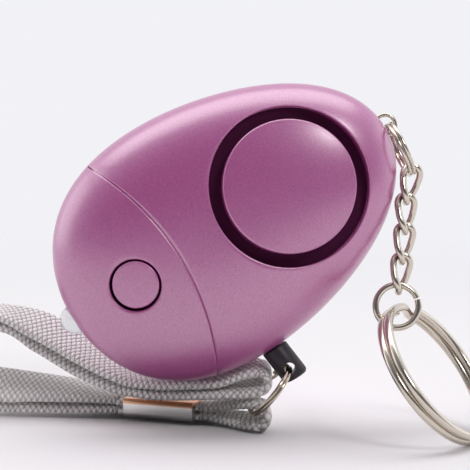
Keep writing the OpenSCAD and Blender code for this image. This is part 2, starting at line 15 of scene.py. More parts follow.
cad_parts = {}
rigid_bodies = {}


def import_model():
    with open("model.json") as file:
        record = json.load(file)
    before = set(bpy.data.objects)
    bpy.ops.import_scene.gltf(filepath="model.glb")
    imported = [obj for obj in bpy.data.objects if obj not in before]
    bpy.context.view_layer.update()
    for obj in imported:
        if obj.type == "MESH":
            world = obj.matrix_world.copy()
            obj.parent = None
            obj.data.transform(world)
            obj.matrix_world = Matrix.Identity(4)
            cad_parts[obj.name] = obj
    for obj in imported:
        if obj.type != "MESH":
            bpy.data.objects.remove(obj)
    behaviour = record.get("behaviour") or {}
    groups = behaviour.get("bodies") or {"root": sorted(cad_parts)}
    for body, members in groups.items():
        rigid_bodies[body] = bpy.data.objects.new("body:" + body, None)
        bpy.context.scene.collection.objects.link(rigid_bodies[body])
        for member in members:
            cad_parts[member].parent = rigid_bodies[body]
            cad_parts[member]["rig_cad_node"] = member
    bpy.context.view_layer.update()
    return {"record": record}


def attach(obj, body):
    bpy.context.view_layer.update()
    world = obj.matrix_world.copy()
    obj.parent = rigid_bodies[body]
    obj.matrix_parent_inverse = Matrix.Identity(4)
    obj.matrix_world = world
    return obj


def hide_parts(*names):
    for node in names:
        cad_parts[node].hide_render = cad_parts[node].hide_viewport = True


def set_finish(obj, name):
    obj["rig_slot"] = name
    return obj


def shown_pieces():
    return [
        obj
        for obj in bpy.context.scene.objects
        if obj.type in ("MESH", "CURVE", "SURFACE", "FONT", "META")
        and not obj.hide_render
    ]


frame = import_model()
slot_of = {part["node"]: part["material_slot"] for part in frame["record"]["subparts"]}
MM = 0.001

# %% [markdown]
# ## The camera
# A small object seen from arm's length through a long lens shows little perspective. The camera could be
# pushed about by eye. Here it is reckoned: it looks along +Y and slightly down, its lens makes one
# millimetre at the case's middle plane cover 5.89 pixels, and it stands where the speaker's middle falls on
# its place in the picture.

# %% Camera
CASE_AT = np.array([2.8, 4.7, 42.059])
PICTURE_PX, SPEAKER_PX, PX_MM = 470.0, (288.6, 185.6), 5.89
VIEW_DIST, VIEW_DOWN, SENSOR = 280.0, math.radians(6.0), 36.0
view_dir = np.array([0.0, math.cos(VIEW_DOWN), -math.sin(VIEW_DOWN)])
aside = (PICTURE_PX / 2 - SPEAKER_PX[0]) / PX_MM
above = (SPEAKER_PX[1] - PICTURE_PX / 2) / PX_MM / math.cos(VIEW_DOWN)
target = CASE_AT + np.array([aside, 0.0, above])
bpy.ops.object.camera_add(location=(target - VIEW_DIST * view_dir) * MM,
                          rotation=(math.pi / 2 - VIEW_DOWN, 0.0, 0.0))
camera = bpy.context.object
camera.data.sensor_width = SENSOR
camera.data.lens = SENSOR * PX_MM * VIEW_DIST / PICTURE_PX
camera.data.clip_start, camera.data.clip_end = 0.01, 10.0
bpy.context.scene.camera = camera
bpy.context.scene.view_settings.view_transform = "Standard"
print("lens", round(camera.data.lens, 1), "mm")

# %% [markdown]
# ## The form of the case
# The real case is moulded as an egg. Its outline is egg-shaped, and every section across it is a
# superellipse, a form between an ellipse and a rounded box. It could be sculpted from a sphere, but then
# the slot, the cover and the button would not follow it exactly. Here the solid model's own few numbers
# give the half thickness anywhere, and every piece is laid on that. In the case's own directions s runs
# along it to the tip, y runs through it from front to back and h runs across it. The case rests tilted and
# leans back a little.

# %% Directions of the case
TILT, LEAN = math.radians(32.0), math.radians(4.0)


def lean_back(p, angle):
    x, y, z = p[..., 0], p[..., 1], p[..., 2]
    c, s = math.cos(angle), math.sin(angle)
    return np.stack([x, y * c + z * s, -y * s + z * c], -1)


def case_turn(p):
    """A direction of the case as one of the room."""
    p = np.asarray(p, float)
    s, y, h = p[..., 0], p[..., 1], p[..., 2]
    c, q = math.cos(TILT), math.sin(TILT)
    return lean_back(np.stack([s * c - h * q, y, s * q + h * c], -1), LEAN)


def in_case(p):
    """The place in the room of a point of the case."""
    return CASE_AT + case_turn(p)


print("the tip points along", np.round(case_turn([1.0, 0.0, 0.0]), 2))

# %% Outline and thickness
MID_S, HALF_L, HALF_W, HALF_T = -12.0, 31.0, 22.0, 11.0
POW, EGG, ROUNDS = 0.8, (0.983, -0.167, 0.088), 12
MIDDLE = np.array([MID_S, 0.0])


def egg_gain(c):
    """Share of the half width at the cosine c: more at the lamp's end, less at the tip."""
    return EGG[0] + EGG[1] * c + EGG[2] * c * c


def half_thickness(s, h):
    a, turn = (s - MID_S) / HALF_L, np.arctan2(h / HALF_W, (s - MID_S) / HALF_L)
    for _ in range(ROUNDS):
        turn = np.arctan2(h / (HALF_W * egg_gain(np.cos(turn))), a)
    share = np.hypot(a, h / (HALF_W * egg_gain(np.cos(turn))))
    return HALF_T * np.clip(1 - share ** (2 / POW), 0, 1) ** (POW / 2)


def face_at(sh):
    """The y of the front face at points (s, h)."""
    return -half_thickness(sh[:, 0], sh[:, 1])


def with_y(sh, y):
    return np.stack([sh[:, 0], y, sh[:, 1]], -1)


print("half thickness at the speaker", round(float(half_thickness(0.0, 0.0)), 2), "mm")

# %% [markdown]
# ## Rays across the face
# A curved groove divides the real face into a large part round the speaker and a cap round the button. Each
# could be cut out of an even mesh, but cuts leave ragged edges. So each part is made of rays from its round
# hole to the groove or the rim, and one ray goes exactly to each end of the groove.

# %% Rays
GROOVE_C, GROOVE_R = np.array([-62.5, 0.0]), 41.0
NO_HIT, AT_RIM = 1e9, 0.03


def ray(angle):
    return np.stack([np.cos(angle), np.sin(angle)], -1)


def rim(angle):
    c, s = np.cos(angle), np.sin(angle)
    return np.stack([MID_S + HALF_L * c, HALF_W * s * egg_gain(c)], -1)


rim_points = rim(np.linspace(0, 2 * math.pi, 4000, endpoint=False))


def reach_to_rim(centre, angle):
    d = rim_points - centre
    a, r = np.arctan2(d[:, 1], d[:, 0]), np.hypot(d[:, 0], d[:, 1])
    order = np.argsort(a)
    return np.interp(angle, a[order], r[order], period=2 * math.pi)


def reach_to_groove(centre, angle, near):
    """Reach to the groove's near or far side along each ray."""
    o = np.asarray(centre) - GROOVE_C
    b = ray(angle) @ o
    root = b * b - (o @ o - GROOVE_R ** 2)
    half_chord = np.sqrt(np.maximum(root, 0))
    hit = -b - half_chord if near else -b + half_chord
    return np.where((root > 0) & (hit > 0), hit, NO_HIT)


def rays(centre, around, columns, near):
    """Angles, reaches and whether the groove ends the ray, at shares round the hole."""
    angle = np.linspace(0, 2 * math.pi, 7201)
    before_rim = reach_to_groove(centre, angle, near) < reach_to_rim(centre, angle)
    ends = angle[np.flatnonzero(np.diff(before_rim.astype(int)) != 0)]
    at = np.rint(ends / (2 * math.pi) * columns) / columns
    angle = np.interp(around, np.r_[0, at, 1], np.r_[0, ends, 2 * math.pi])
    to_rim, to_groove = reach_to_rim(centre, angle), reach_to_groove(centre, angle, near)
    return angle, np.minimum(to_rim, to_groove), (to_groove < to_rim + AT_RIM).astype(float)


print("from the speaker to the tip", round(float(reach_to_rim(np.zeros(2), 0.0)), 1), "mm")

# %% [markdown]
# ## Rows of the front shell
# The first rows of each part are the wall and the rounded lip of its hole. The next ones follow the face.
# The last ones slope down into the groove, which fades out near the rim, or dip a little at the rim, where
# a fine parting line shows. A bump could draw the groove, but a real slope catches the light.

# %% Rows on the face
GROOVE_END, GROOVE_FADE = 19.6, 3.0
RIM_DIP, DIP_REACH, CROWDING = 0.12, 25.0, 2.2
LIP_ROWS, FACE_ROWS = 6, 48
PART_ROWS = LIP_ROWS - 1 + FACE_ROWS


def rim_dip(sh, gap):
    """Step towards the middle for points that lie within gap of the rim."""
    return np.clip(1 - gap / RIM_DIP, 0, 1)[:, None] * RIM_DIP * (MIDDLE - sh) / DIP_REACH


def face_rows(first, edge, on_groove, row, slope):
    """Points from the first ring to the edge; slope is the groove side's depth, width and power."""
    depth, width, power = slope
    share = np.clip((row - LIP_ROWS + 1) / FACE_ROWS, 0, 1)
    spread = 1 - (1 - share) ** CROWDING
    sh = first[:, [0, 2]] * (1 - spread)[:, None] + edge * spread[:, None]
    gap = np.linalg.norm(edge - sh, axis=1)
    fade = np.clip((GROOVE_END - np.abs(edge[:, 1])) / GROOVE_FADE, 0, 1)
    y = face_at(sh) + on_groove * fade * depth * np.clip(1 - gap / width, 0, 1) ** power
    return with_y(sh + (1 - on_groove)[:, None] * rim_dip(sh, gap), y)


def hole_or_face(row, hole, face):
    return in_case(np.where((row < LIP_ROWS)[:, None], hole, face))


print(PART_ROWS, "rows from a hole to the rim")

# %% Part round the speaker
SLOT_R, SLOT_LIP, SLOT_FLOOR, SPEAKER_TILT = 13.3, 0.25, 4.0, math.radians(7.0)
SPEAKER_COLUMNS, SPEAKER_SLOPE = 288, (0.3, 0.6, 1.2)
speaker_y = -float(half_thickness(np.array(0.0), np.array(0.0)))
ct, st = math.cos(SPEAKER_TILT), math.sin(SPEAKER_TILT)
SPEAKER_AXES = np.array([[ct, st, 0.0], [0.0, 0.0, -1.0], [-st, ct, 0.0]])


def on_speaker(r, angle, depth):
    """Point of the case at r and angle round the speaker's tilted axis, depth below the face."""
    local = np.stack([r * np.cos(angle), -r * np.sin(angle), depth], -1)
    return np.array([0.0, speaker_y, 0.0]) + local @ SPEAKER_AXES


def speaker_depth(r, angle):
    """Depth at which the face passes under r and angle."""
    depth = np.zeros(np.broadcast(r, angle).shape)
    for _ in range(ROUNDS):
        p = on_speaker(r, angle, depth)
        depth = depth + (-half_thickness(p[..., 0], p[..., 2]) - p[..., 1]) / ct
    return depth


def speaker_part(around, row):
    angle, limit, on_groove = rays(np.zeros(2), around, SPEAKER_COLUMNS, True)
    turn = np.clip((row - 1) / (LIP_ROWS - 2), 0, 1) * math.pi / 2
    first_r = np.full_like(angle, SLOT_R + SLOT_LIP)
    face = speaker_depth(first_r, angle)
    depth = np.where(row == 0, SLOT_FLOOR, face + SLOT_LIP * (1 - np.sin(turn)))
    hole = on_speaker(SLOT_R + SLOT_LIP * (1 - np.cos(turn)), angle, depth)
    first = on_speaker(first_r, angle, face)
    edge = limit[:, None] * ray(angle)
    return hole_or_face(row, hole, face_rows(first, edge, on_groove, row, SPEAKER_SLOPE))


print("slot of radius", SLOT_R, "mm")

# %% Part round the button
BUTTON_AT, BUTTON_HOLE, HOLE_SHIFT = np.array([-30.12, -0.32]), 4.3, np.array([-0.1, -0.05])
HOLE_LIP, LEDGE_R, LEDGE_DEPTH = 0.3, 4.02, 2.8
BUTTON_COLUMNS, BUTTON_SLOPE = 192, (0.2, 0.3, 1.3)


def button_part(around, row):
    centre = BUTTON_AT + HOLE_SHIFT
    angle, limit, on_groove = rays(centre, around, BUTTON_COLUMNS, False)
    turn = np.clip((row - 2) / (LIP_ROWS - 3), 0, 1) * math.pi / 2
    d = ray(angle)
    outer = centre + (BUTTON_HOLE + HOLE_LIP) * d
    face = face_at(outer)
    sh = centre + (BUTTON_HOLE + HOLE_LIP * (1 - np.cos(turn)))[:, None] * d
    sh = np.where((row == 0)[:, None], BUTTON_AT + LEDGE_R * d, sh)
    hole = with_y(sh, np.where(row < 2, face + LEDGE_DEPTH, face + HOLE_LIP * (1 - np.sin(turn))))
    edge = centre + limit[:, None] * d
    return hole_or_face(row, hole, face_rows(with_y(outer, face), edge, on_groove, row, BUTTON_SLOPE))


print("hole of radius", BUTTON_HOLE, "mm")

# %% [markdown]
# ## Laying a grid
# An operator acts on everything that is selected, so each step starts with nothing selected. A grid
# primitive gives columns and rows of points, and each point is then laid on the form: columns run round the
# piece, rows run across it, and the seam where the grid meets itself is merged.

# %% Grid helpers
def start_clean():
    if bpy.context.object and bpy.context.object.mode != "OBJECT":
        bpy.ops.object.mode_set(mode="OBJECT")
    bpy.ops.object.select_all(action="DESELECT")


def only(obj):
    start_clean()
    obj.select_set(True)
    bpy.context.view_layer.objects.active = obj


def edit(obj, step):
    """Take one piece through a step of edit mode, with all of it selected."""
    only(obj)
    bpy.ops.object.mode_set(mode="EDIT")
    bpy.ops.mesh.select_all(action="SELECT")
    step()
    bpy.ops.object.mode_set(mode="OBJECT")


def merge_seam():
    bpy.ops.mesh.remove_doubles(threshold=1e-7)


def points_of(obj):
    flat = np.empty(len(obj.data.vertices) * 3)
    obj.data.vertices.foreach_get("co", flat)
    return flat.reshape(-1, 3)


def set_points(obj, pts):
    obj.data.vertices.foreach_set("co", np.asarray(pts, float).ravel())
    obj.data.update()


def laid_grid(name, columns, rows, place, wraps=True):
    """A grid of columns by rows faces whose points go to place(share round, row number), in millimetres."""
    start_clean()
    bpy.ops.mesh.primitive_grid_add(x_subdivisions=columns, y_subdivisions=rows, size=1.0, calc_uvs=True)
    obj = bpy.context.object
    obj.name = obj.data.name = name
    co = points_of(obj)
    row = np.rint((co[:, 1] + 0.5) * rows).astype(int)
    set_points(obj, place(co[:, 0] + 0.5, row) * MM)
    if wraps:
        edit(obj, merge_seam)
    return obj


parts = [laid_grid("speaker_part", SPEAKER_COLUMNS, PART_ROWS, speaker_part),
         laid_grid("button_part", BUTTON_COLUMNS, PART_ROWS, button_part)]
print([(part.name, len(part.data.vertices)) for part in parts])

# %% [markdown]
# ## Walls of the front shell
# The real shell is a wall about a millimetre thick. A Solidify modifier gives the grid its wall, which
# grows inwards. Round the slot the face falls away so steeply that the inner side of the lip would break
# through it, so inner points are kept below the face. An extrusion would need the same care.

# %% Wall helpers
WALL, UNDER_FACE = 1.1, 0.3


def face_out(obj, inside):
    """Turn the faces so that they look away from the point inside, in millimetres."""
    away = sum((f.center - Vector(inside) * MM).dot(f.normal) * f.area for f in obj.data.polygons)
    if away < 0:
        edit(obj, bpy.ops.mesh.flip_normals)
    return obj


def thicken(obj, wall):
    only(obj)
    mod = obj.modifiers.new("wall", "SOLIDIFY")
    mod.thickness, mod.offset, mod.use_even_offset = wall * MM, -1.0, False
    bpy.ops.object.modifier_apply(modifier="wall")
    return obj


def keep_under_face(obj, first):
    """Put the points from number first on at least a little below the face."""
    own = (points_of(obj) / MM - CASE_AT) @ case_turn(np.eye(3)).T
    lower = np.maximum(own[:, 1], UNDER_FACE - half_thickness(own[:, 0], own[:, 2]))
    lower[:first] = own[:first, 1]
    moved = int((lower > own[:, 1] + 1e-6).sum())
    own[:, 1] = lower
    set_points(obj, in_case(own) * MM)
    print(obj.name, "inner points put below the face:", moved)


for part in parts:
    outer = len(part.data.vertices)
    thicken(face_out(part, in_case([MID_S, 4.0, 0.0])), WALL)
    keep_under_face(part, outer)

# %% [markdown]
# ## Holes of the front shell
# The chain's eye passes through the tip, and the lamp looks out at the fat end. Both holes are plain bores,
# so a cylinder and a Boolean modifier cut them, as a drill would. Each part is cut on its own, and the two
# are then joined. Every finished piece is then given its body, the solid it stands for, and its finish.

# %% Cut, join and dress
EYE_BORE = ([19.65, -11, -0.2], [19.65, 11, -0.2], 1.05)
LAMP_BORE = ([-48.0, 0, 0], [-39.0, 0, 0], 2.62)


def rod_cutter(p, q, radius):
    """A cylinder between two points of the case."""
    start_clean()
    a, b = Vector(in_case(p)) * MM, Vector(in_case(q)) * MM
    bpy.ops.mesh.primitive_cylinder_add(vertices=64, radius=radius * MM, depth=(b - a).length)
    tool = bpy.context.object
    turn = (b - a).to_track_quat("Z", "Y").to_matrix().to_4x4()
    tool.matrix_world = Matrix.Translation((a + b) / 2) @ turn
    return tool


def cut(obj, cutter):
    only(obj)
    mod = obj.modifiers.new("cut", "BOOLEAN")
    mod.operation, mod.solver, mod.object = "DIFFERENCE", "EXACT", cutter
    bpy.ops.object.modifier_apply(modifier="cut")
    bpy.data.objects.remove(cutter)


def smooth(obj, degrees=35):
    only(obj)
    bpy.ops.object.shade_smooth_by_angle(angle=math.radians(degrees))
    return obj


def join(name, *objs):
    start_clean()
    for o in objs:
        o.select_set(True)
    bpy.context.view_layer.objects.active = objs[0]
    bpy.ops.object.join()
    objs[0].name = objs[0].data.name = name
    return objs[0]


def dressed(obj, body, *nodes):
    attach(obj, body)
    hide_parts(*nodes)
    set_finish(obj, slot_of[nodes[0]])
    print(obj.name, "on", body, len(obj.data.polygons), "faces")


cut(parts[0], rod_cutter(*EYE_BORE))
cut(parts[1], rod_cutter(*LAMP_BORE))
dressed(smooth(join("front_case", *parts)), "case", "front_shell")

# %% [markdown]
# ## The rear shell
# The back isn't seen in the picture. Such alarms have a second moulding there, with a flat and two sunk
# screws. A mirrored front would bring its slot and groove along, so the back is one more grid of rays from
# its middle to the rim. The rim dips as on the front, and the two shells meet in a fine parting line.

# %% Rear shell
BACK_FLAT, REAR_COLUMNS, REAR_ROWS = 0.4, 256, 60
SCREW_S, SCREW_H, SCREW_FROM, SCREW_TO, SCREW_BORE = -26.0, 14.5, 4.4, 14.0, 1.75


def rear_part(around, row):
    angle = around * 2 * math.pi
    limit = reach_to_rim(MIDDLE, angle)
    share = 1 - (1 - row / REAR_ROWS) ** 2.0
    sh = MIDDLE + (limit * share)[:, None] * ray(angle)
    y = np.minimum(-face_at(sh), HALF_T - BACK_FLAT)
    return in_case(with_y(sh + rim_dip(sh, limit * (1 - share)), y))


rear_case = laid_grid("rear_case", REAR_COLUMNS, REAR_ROWS, rear_part)
thicken(face_out(rear_case, in_case([MID_S, -4.0, 0.0])), WALL)
cut(rear_case, rod_cutter(*LAMP_BORE))
cut(rear_case, rod_cutter(*EYE_BORE))
for side in (-SCREW_H, SCREW_H):
    cut(rear_case, rod_cutter([SCREW_S, SCREW_FROM, side], [SCREW_S, SCREW_TO, side], SCREW_BORE))
dressed(smooth(rear_case), "case", "rear_shell")

# %% [markdown]
# ## The dark gaps
# Sound leaves the real alarm through a ring-shaped slot round the speaker, and a fine gap surrounds the
# button. Both look nearly black because little light finds its way in. A ring at the bottom of the slot and
# a thin well in the button's gap carry that darkness as painted shade. Painting the shell's own walls dark
# would also darken the lips that catch the light.

# %% Sound floor and button well
SOUND_FLOOR = np.array([(10.9, 0.02), (13.6, 0.02), (13.6, 0.7), (10.9, 0.7), (10.9, 0.02)])
WELL = np.array([(4.29, 0.4, 1), (4.25, 0.4, 1), (4.25, 2.5, 1), (4.03, 2.5, 0), (4.03, 2.7, 0),
                 (4.29, 2.7, 1), (4.29, 0.4, 1)])


def well_part(around, row):
    """The well's radius, depth and share of the hole's shift, row by row."""
    d = ray(around * 2 * math.pi)
    face = face_at(BUTTON_AT + HOLE_SHIFT + BUTTON_HOLE * d)
    r, depth, shifted = WELL[row].T
    return in_case(with_y(BUTTON_AT + shifted[:, None] * HOLE_SHIFT + r[:, None] * d, face + depth))


def sound_part(around, row):
    r, depth = SOUND_FLOOR[row].T
    return in_case(on_speaker(r, around * 2 * math.pi, SLOT_FLOOR + depth))


def normals_out():
    bpy.ops.mesh.normals_make_consistent(inside=False)


well = laid_grid("button_well", 128, len(WELL) - 1, well_part)
edit(well, normals_out)
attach(smooth(well), "case")
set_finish(well, "dark_recess")
print(well.name, "on case", len(well.data.polygons), "faces")
sound = laid_grid("sound_floor", 160, len(SOUND_FLOOR) - 1, sound_part)
edit(sound, normals_out)
dressed(smooth(sound), "case", "sound_ring")

# %% [markdown]
# ## Speaker cover and button
# On the real alarm the cover lies level with the face and the button stands slightly proud of it. A
# cylinder with a bevel would be flat where the face is curved. So rings of points follow the face from the
# middle out, turn over a rounded edge and run down the side.

# %% Cover and button
CAP_TOP, CAP_LIP, CAP_ROWS = 32, 6, 40
COVER_R, COVER_LIP, COVER_SIDE, COVER_WALL = 11.1, 0.4, 0.8, 0.8
BUTTON_R, BUTTON_LIP, BUTTON_SIDE, BUTTON_WALL = 3.9, 0.3, 0.6, 0.6
BUTTON_PROUD, BUTTON_FOOT = 0.12, -6.0


def cap_rows(row, radius, lip):
    """Radius at each row of a cap and how far its rounded edge has turned down."""
    turn = np.clip((row - CAP_TOP) / CAP_LIP, 0, 1) * math.pi / 2
    r = np.where(row <= CAP_TOP, (radius - lip) * row / CAP_TOP, radius - lip + lip * np.sin(turn))
    return r, lip * (1 - np.cos(turn))


def cover_part(around, row):
    angle = around * 2 * math.pi
    r, down = cap_rows(row, COVER_R, COVER_LIP)
    face = speaker_depth(np.minimum(r, COVER_R - COVER_LIP), angle)
    depth = np.where(row == CAP_ROWS - 1, face + COVER_LIP + COVER_SIDE, face + down)
    return in_case(on_speaker(r, angle, np.where(row == CAP_ROWS, SLOT_FLOOR, depth)))


def button_cap_part(around, row):
    r, down = cap_rows(row, BUTTON_R, BUTTON_LIP)
    sh = BUTTON_AT + r[:, None] * ray(around * 2 * math.pi)
    y = face_at(sh) - BUTTON_PROUD + down
    y = np.where(row == CAP_ROWS - 1, y + BUTTON_SIDE, y)
    return in_case(with_y(sh, np.where(row == CAP_ROWS, BUTTON_FOOT, y)))


cover = face_out(laid_grid("speaker_disc", 160, CAP_ROWS, cover_part), in_case([0, -7.0, 0]))
dressed(smooth(thicken(cover, COVER_WALL)), "case", "speaker_cover")
button = laid_grid("button_top", 96, CAP_ROWS, button_cap_part)
face_out(button, in_case([BUTTON_AT[0], -6.5, BUTTON_AT[1]]))
dressed(smooth(thicken(button, BUTTON_WALL)), "button", "button_cap")

# %% [markdown]
# ## The lamp
# The lamp is a clear 5 mm epoxy lens with a domed end, a flange, and a small metal cup inside. All of it is
# round about one axis, so a profile spun round that axis is the natural way. The Spin operator would do as
# well, but the grid closes the poles in the same step.

# %% Lamp
LAMP_AT, LENS_R = [-42.7, 0, 0], 2.5
ALONG_S = np.eye(3)


def spun(name, profile, origin, axes, columns=64):
    """Spin (along, radius) pairs round an axis; axes turn (along, a, b) into the case's directions."""
    prof = np.asarray(profile, float)

    def place(around, row):
        angle = around * 2 * math.pi
        along, r = prof[row].T
        local = np.stack([along, r * np.cos(angle), r * np.sin(angle)], -1)
        return in_case(np.asarray(origin) + local @ axes)

    return laid_grid(name, columns, len(prof) - 1, place)


dome = [(-LENS_R * math.cos(a), LENS_R * math.sin(a)) for a in np.linspace(0, math.pi / 2, 16)]
flange = [(4.6, LENS_R), (4.7, 2.9), (5.6, 2.9), (5.7, 2.8), (5.7, 0.0)]
lens = spun("lamp_lens", dome + flange, LAMP_AT, ALONG_S)
dressed(smooth(face_out(lens, in_case([-40.0, 0, 0])), 40), "case", "led_lamp")
cup_profile = [(0.6, 0.0), (0.6, 0.5), (0.0, 1.0), (0.1, 1.15), (1.0, 0.8), (2.6, 0.45), (5.6, 0.3),
               (5.6, 0.0)]
cup = spun("lamp_cup", cup_profile, LAMP_AT, ALONG_S, 32)
smooth(face_out(cup, in_case([-40.5, 0, 0])))
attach(cup, "case")
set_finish(cup, "nickel")
print(cup.name, "on case", len(cup.data.polygons), "faces")

# %% [markdown]
# ## The pull pin
# Drawing out this charcoal plug sets the alarm off. Its round head has soft edges and a cross hole for the
# ring, and its thin shaft runs into the case. It is spun like the lamp, and the head is then slid sideways
# a little along its length, because the real pin sits askew. A drill through the head makes the cross hole.

# %% Pull pin
PIN_S, HEAD_H, HEAD_SHEAR, CROSS_DOWN, CROSS_BORE = -16.7, 22.103, 0.105, 4.1, 1.0
ALONG_PIN = np.array([[0.0, 0.0, -1.0], [1.0, 0.0, 0.0], [0.0, 1.0, 0.0]])
CROSS = np.array([PIN_S + HEAD_SHEAR * CROSS_DOWN, 0.0, -HEAD_H - CROSS_DOWN])
shaft = [(-13.0, 0.0), (-13.0, 0.9), (-12.7, 1.2), (-0.02, 1.2)]
head = [(-0.02, 2.1), (0.04, 2.25), (0.15, 2.3), (5.45, 2.3), (5.75, 2.22), (6.05, 1.98), (6.17, 1.8),
        (6.2, 1.6), (6.2, 0.0)]
head_at = [PIN_S, 0, -HEAD_H]
pin = spun("pin_plug", shaft + head, head_at, ALONG_PIN)
along = np.maximum((points_of(pin) / MM - in_case(head_at)) @ case_turn([0.0, 0, -1.0]), 0)
set_points(pin, points_of(pin) + HEAD_SHEAR * along[:, None] * case_turn([1.0, 0, 0]) * MM)
face_out(pin, in_case([PIN_S, 0, -24.0]))
cut(pin, rod_cutter(CROSS - [0, 5, 0], CROSS + [0, 5, 0], CROSS_BORE))
dressed(smooth(pin, 40), "pin", "pull_pin")

# %% [markdown]
# ## Wound rings
# The key ring, the connector ring and the pin's ring are split rings: one wire wound twice. A torus would
# be quicker, but it lacks their double line. So the wire is drawn as a curve with a round bevel: each turn
# lies flat, the wire steps from the lower turn to the upper one in a short slope, and the two cut ends sit
# on either side of that slope.

# %% Wire along a path
RING_POINTS = 192


def wound_path(radius, pitch, step=14.0):
    """Two flat turns, pitch apart, with a slope of step degrees to either side of the middle."""
    angle = np.radians(np.linspace(step, 720.0 - step, RING_POINTS))
    rise = np.clip((np.degrees(angle) - 360.0 + step) / (2 * step), 0, 1)
    height = pitch * (rise * rise * (3 - 2 * rise) - 0.5)
    return np.stack([radius * np.cos(angle), radius * np.sin(angle), height], -1)


def spun_about(p, degrees):
    """Points turned about Z, which moves a ring's cut ends round it."""
    c, s = math.cos(math.radians(degrees)), math.sin(math.radians(degrees))
    return np.stack([p[:, 0] * c - p[:, 1] * s, p[:, 0] * s + p[:, 1] * c, p[:, 2]], -1)


def wire(name, pts, diameter, closed=False, sides=5):
    """A round wire through points in millimetres."""
    start_clean()
    curve = bpy.data.curves.new(name, "CURVE")
    curve.dimensions, curve.bevel_depth, curve.bevel_resolution = "3D", diameter / 2 * MM, sides
    curve.use_fill_caps = True
    line = curve.splines.new("POLY")
    line.points.add(len(pts) - 1)
    line.points.foreach_set("co", np.c_[np.asarray(pts) * MM, np.ones(len(pts))].ravel())
    line.use_cyclic_u = closed
    obj = bpy.data.objects.new(name, curve)
    bpy.context.collection.objects.link(obj)
    only(obj)
    bpy.ops.object.convert(target="MESH")
    return smooth(bpy.context.object, 50)


print(RING_POINTS, "points in a wound ring")

# %% Connector ring
CHAIN_LEAN, TIP_S = math.radians(10.0), 20.95
CONN_TOP, CONN_R, CONN_WIRE = np.array([-0.98, 0.0, -0.87]), 4.6, 0.7
CONN_PITCH, CONN_ANGLE, CONN_CUT = 0.68, 25.145, 150.0
tip_at = in_case([TIP_S, 0.0, 0.0])


def in_chain(p, drop, angle):
    """Point of a hanging piece, turned by angle about Y, moved to drop and leaned with the chain."""
    p = np.asarray(p, float)
    c, s = math.cos(math.radians(angle)), math.sin(math.radians(angle))
    q = np.stack([p[..., 0] * c - p[..., 2] * s, p[..., 1], p[..., 0] * s + p[..., 2] * c], -1)
    return tip_at + lean_back(q + np.asarray(drop), CHAIN_LEAN)


coil = spun_about(wound_path(CONN_R, CONN_PITCH), CONN_CUT)
coil = np.stack([coil[:, 2], coil[:, 1], -coil[:, 0] - CONN_R], -1)
connector = wire("connector_coil", in_chain(coil, CONN_TOP, CONN_ANGLE), CONN_WIRE)
dressed(connector, "connector", "connector_ring")

# %% Key ring and pin ring
KEY_AT, KEY_YAW, KEY_PITCH = (27.0627, -2.7546, 11.2493), math.radians(-27.7), math.radians(53.54)
KEY_R, KEY_WIRE, KEY_GAP, KEY_STEP, KEY_CUT = 12.5, 1.5, 1.44, 11.0, 160.0
RING_R, RING_WIRE, RING_GAP, RING_LOW, RING_CUT = 5.1, 0.6, 0.58, 3.4, 100.0
RING_TWIST = math.radians(-5.0)


def turned(p, matrix):
    return np.asarray(p) @ np.asarray(matrix.to_3x3()).T + np.asarray(matrix.translation)


key_frame = Matrix.Translation(KEY_AT) @ Matrix.Rotation(KEY_YAW, 4, "Z")
key_frame = key_frame @ Matrix.Rotation(KEY_PITCH, 4, "Y")
coil = spun_about(wound_path(KEY_R, KEY_GAP, KEY_STEP), KEY_CUT)
dressed(wire("key_coil", turned(coil, key_frame), KEY_WIRE, sides=7), "key_ring", "key_ring")

cross_at = in_case(CROSS)
ring_lean = math.acos((cross_at[2] - RING_LOW) / (2 * RING_R))
ring_at = cross_at - RING_R * np.array([math.sin(ring_lean), 0, math.cos(ring_lean)])
ring_frame = Matrix.Translation(ring_at) @ Matrix.Rotation(ring_lean + math.pi / 2, 4, "Y")
ring_frame = ring_frame @ Matrix.Rotation(RING_TWIST, 4, "X")
coil = spun_about(wound_path(RING_R, RING_GAP), RING_CUT)
dressed(wire("pin_coil", turned(coil, ring_frame), RING_WIRE), "pin_ring", "pin_ring")

# %% [markdown]
# ## The chain
# The real chain is a twisted trace chain: each link is an oval of wire whose lower half is turned by a
# right angle, so that the next link hangs square in it. One link could be copied, but each leans
# differently, so a loop draws each one where the one before ends. The wire is drawn a hair thinner than the
# solid's, which keeps the links from touching when they swing.

# %% Links
LINK_A, LINK_B, LINK_WIRE, LINK_POW, PLAY, SLACK = 3.15, 1.75, 1.2, 0.8, 0.05, 0.04
LINK_ANGLES = [-11.5, -3.0, -6.0, -7.0]


def hang(angle):
    """The direction in which a piece hangs at an angle from straight down."""
    return np.array([math.sin(math.radians(angle)), 0.0, -math.cos(math.radians(angle))])


def link_path():
    a = np.linspace(0, 2 * math.pi, 72, endpoint=False)
    c, s = np.cos(a), np.sin(a)
    along = LINK_A * np.sign(c) * np.abs(c) ** LINK_POW
    side = LINK_B * np.sign(s) * np.abs(s) ** LINK_POW
    turn = math.pi / 4 * (1 - c)
    return np.stack([side * np.cos(turn), side * np.sin(turn), along], -1)


drop = CONN_TOP + 2 * CONN_R * hang(CONN_ANGLE)
for number, angle in enumerate(LINK_ANGLES, 1):
    sit = LINK_WIRE / 2 + CONN_WIRE + PLAY if number == 1 else LINK_WIRE + PLAY
    path = link_path() + np.array([0, 0, sit - LINK_A])
    link = wire("twist_%d" % number, in_chain(path, drop, angle), LINK_WIRE - SLACK, closed=True)
    dressed(link, "link_%d" % number, "link_%d" % number)
    drop = drop + (2 * LINK_A - sit) * hang(angle)

# %% [markdown]
# ## Jump ring and tip eye
# The jump ring between chain and key ring is a plain ring whose cut is left slightly open. The eye at the
# tip is a loop of wire with its shank in the case. Both are arcs of wire, drawn as the links are.

